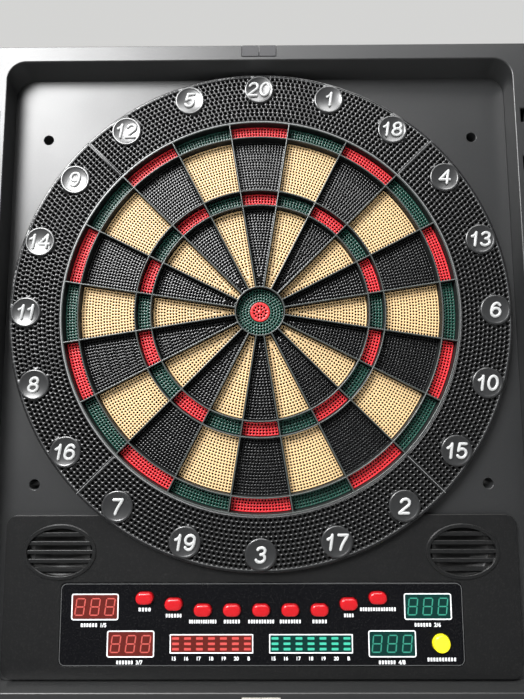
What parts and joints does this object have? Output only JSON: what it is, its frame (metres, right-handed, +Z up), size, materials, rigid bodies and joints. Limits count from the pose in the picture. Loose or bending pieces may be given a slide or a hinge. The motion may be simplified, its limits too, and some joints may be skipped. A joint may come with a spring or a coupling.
{
  "type": "electronic dartboard",
  "caption": "Wall-hung electronic dartboard cabinet with perforated scoring target, catch ring, speakers, display and button panel, and fold-back doors.",
  "frame": {"origin": "wall plane at the centre of the four wall screws", "axes": "+X right and +Z up as the player sees it, +Y into the wall, so the board faces -Y"},
  "size_m": [0.9558, 0.0545, 0.5596],
  "materials": {
    "cabinet_black": "satin moulded ABS, fine texture",
    "door_skin_black": "satin",
    "panel_black": "satin moulded",
    "ring_black": "satin, pitted",
    "spider_black": "half gloss",
    "segment_black": "half gloss, perforated",
    "segment_tan": "satin, perforated",
    "target_red": "satin, perforated",
    "target_green": "satin, perforated",
    "disc_silver": "satin with silver numerals",
    "fascia_black": "gloss printed overlay",
    "lens_red": "tinted window",
    "lens_green": "tinted window",
    "button_red": "gloss",
    "button_yellow": "gloss",
    "module_grey": "moulded",
    "board_green": "solder mask",
    "switch_black": "moulded",
    "catch_dark": "magnet in dark plastic",
    "catch_pale": "magnet in pale plastic",
    "rack_black": "satin",
    "steel": "zinc plated",
    "film_clear": "printed polyester film",
    "pad_rubber": "soft foam rubber",
    "backplate_grey": "moulded",
    "speaker_metal": "pressed steel basket"
  },
  "bodies": {
    "cabinet": {"cabinet_frame": "cabinet_black", "tray_floor": "cabinet_black", "back_cover": "cabinet_black", "cover_screws": "steel", "power_jack": "switch_black", "door_catch_top": "catch_dark", "door_catch_bottom": "catch_pale", "hinge_pins_left": "steel", "hinge_pins_right": "steel", "spider": "spider_black", "catch_ring_top": "ring_black", "catch_ring_right": "ring_black", "catch_ring_bottom": "ring_black", "catch_ring_left": "ring_black", "number_discs": "disc_silver", "sensor_pad": "pad_rubber", "sensor_membrane": "film_clear", "target_backplate": "backplate_grey", "target_screws": "steel", "control_housing": "panel_black", "control_fascia": "fascia_black", "lenses_red": "lens_red", "lenses_green": "lens_green", "led_modules": "module_grey", "control_board": "board_green", "board_screws": "steel", "panel_screws": "steel", "tact_switches": "switch_black", "speaker_left": "speaker_metal", "speaker_right": "speaker_metal"},
    "door_left": {"door_left_pan": "cabinet_black", "door_left_skin": "door_skin_black", "door_left_dart_rack": "rack_black", "door_left_strikers": "steel"},
    "door_right": {"door_right_pan": "cabinet_black", "door_right_skin": "door_skin_black", "door_right_dart_rack": "rack_black", "door_right_strikers": "steel"},
    "outer_single_black": {"outer_single_black": "segment_black"},
    "outer_single_tan": {"outer_single_tan": "segment_tan"},
    "inner_single_black": {"inner_single_black": "segment_black"},
    "inner_single_tan": {"inner_single_tan": "segment_tan"},
    "double_red": {"double_red": "target_red"},
    "double_green": {"double_green": "target_green"},
    "triple_red": {"triple_red": "target_red"},
    "triple_green": {"triple_green": "target_green"},
    "outer_bull": {"outer_bull": "target_green"},
    "inner_bull": {"inner_bull": "target_red"},
    "button_red_1": {"button_red_1": "button_red"},
    "button_red_2": {"button_red_2": "button_red"},
    "button_red_3": {"button_red_3": "button_red"},
    "button_red_4": {"button_red_4": "button_red"},
    "button_red_5": {"button_red_5": "button_red"},
    "button_red_6": {"button_red_6": "button_red"},
    "button_red_7": {"button_red_7": "button_red"},
    "button_red_8": {"button_red_8": "button_red"},
    "button_red_9": {"button_red_9": "button_red"},
    "button_start": {"button_start": "button_yellow"}
  },
  "joints": [
    {"name": "door_left_hinge", "type": "hinge", "parent": "cabinet", "child": "door_left", "pos_m": [-0.2392, -0.05, -0.05], "axis": [0, 0, 1], "range_deg": [0, 180]},
    {"name": "door_right_hinge", "type": "hinge", "parent": "cabinet", "child": "door_right", "pos_m": [0.2392, -0.05, -0.05], "axis": [0, 0, -1], "range_deg": [0, 180]},
    {"name": "button_red_1_press", "type": "slide", "parent": "cabinet", "child": "button_red_1", "axis": [0, 1, 0], "range_m": [0, 0.001], "stiffness_N_per_m": 800},
    {"name": "button_red_2_press", "type": "slide", "parent": "cabinet", "child": "button_red_2", "axis": [0, 1, 0], "range_m": [0, 0.001], "stiffness_N_per_m": 800},
    {"name": "button_red_3_press", "type": "slide", "parent": "cabinet", "child": "button_red_3", "axis": [0, 1, 0], "range_m": [0, 0.001], "stiffness_N_per_m": 800},
    {"name": "button_red_4_press", "type": "slide", "parent": "cabinet", "child": "button_red_4", "axis": [0, 1, 0], "range_m": [0, 0.001], "stiffness_N_per_m": 800},
    {"name": "button_red_5_press", "type": "slide", "parent": "cabinet", "child": "button_red_5", "axis": [0, 1, 0], "range_m": [0, 0.001], "stiffness_N_per_m": 800},
    {"name": "button_red_6_press", "type": "slide", "parent": "cabinet", "child": "button_red_6", "axis": [0, 1, 0], "range_m": [0, 0.001], "stiffness_N_per_m": 800},
    {"name": "button_red_7_press", "type": "slide", "parent": "cabinet", "child": "button_red_7", "axis": [0, 1, 0], "range_m": [0, 0.001], "stiffness_N_per_m": 800},
    {"name": "button_red_8_press", "type": "slide", "parent": "cabinet", "child": "button_red_8", "axis": [0, 1, 0], "range_m": [0, 0.001], "stiffness_N_per_m": 800},
    {"name": "button_red_9_press", "type": "slide", "parent": "cabinet", "child": "button_red_9", "axis": [0, 1, 0], "range_m": [0, 0.001], "stiffness_N_per_m": 800},
    {"name": "button_start_press", "type": "slide", "parent": "cabinet", "child": "button_start", "axis": [0, 1, 0], "range_m": [0, 0.001], "stiffness_N_per_m": 800},
    {"name": "outer_single_black_press", "type": "slide", "parent": "cabinet", "child": "outer_single_black", "axis": [0, 1, 0], "range_m": [0, 0.001], "stiffness_N_per_m": 2500},
    {"name": "outer_single_tan_press", "type": "slide", "parent": "cabinet", "child": "outer_single_tan", "axis": [0, 1, 0], "range_m": [0, 0.001], "stiffness_N_per_m": 2500},
    {"name": "inner_single_black_press", "type": "slide", "parent": "cabinet", "child": "inner_single_black", "axis": [0, 1, 0], "range_m": [0, 0.001], "stiffness_N_per_m": 2500},
    {"name": "inner_single_tan_press", "type": "slide", "parent": "cabinet", "child": "inner_single_tan", "axis": [0, 1, 0], "range_m": [0, 0.001], "stiffness_N_per_m": 2500},
    {"name": "double_red_press", "type": "slide", "parent": "cabinet", "child": "double_red", "axis": [0, 1, 0], "range_m": [0, 0.001], "stiffness_N_per_m": 2500},
    {"name": "double_green_press", "type": "slide", "parent": "cabinet", "child": "double_green", "axis": [0, 1, 0], "range_m": [0, 0.001], "stiffness_N_per_m": 2500},
    {"name": "triple_red_press", "type": "slide", "parent": "cabinet", "child": "triple_red", "axis": [0, 1, 0], "range_m": [0, 0.001], "stiffness_N_per_m": 2500},
    {"name": "triple_green_press", "type": "slide", "parent": "cabinet", "child": "triple_green", "axis": [0, 1, 0], "range_m": [0, 0.001], "stiffness_N_per_m": 2500},
    {"name": "outer_bull_press", "type": "slide", "parent": "cabinet", "child": "outer_bull", "axis": [0, 1, 0], "range_m": [0, 0.001], "stiffness_N_per_m": 2500},
    {"name": "inner_bull_press", "type": "slide", "parent": "cabinet", "child": "inner_bull", "axis": [0, 1, 0], "range_m": [0, 0.001], "stiffness_N_per_m": 2500}
  ]
}
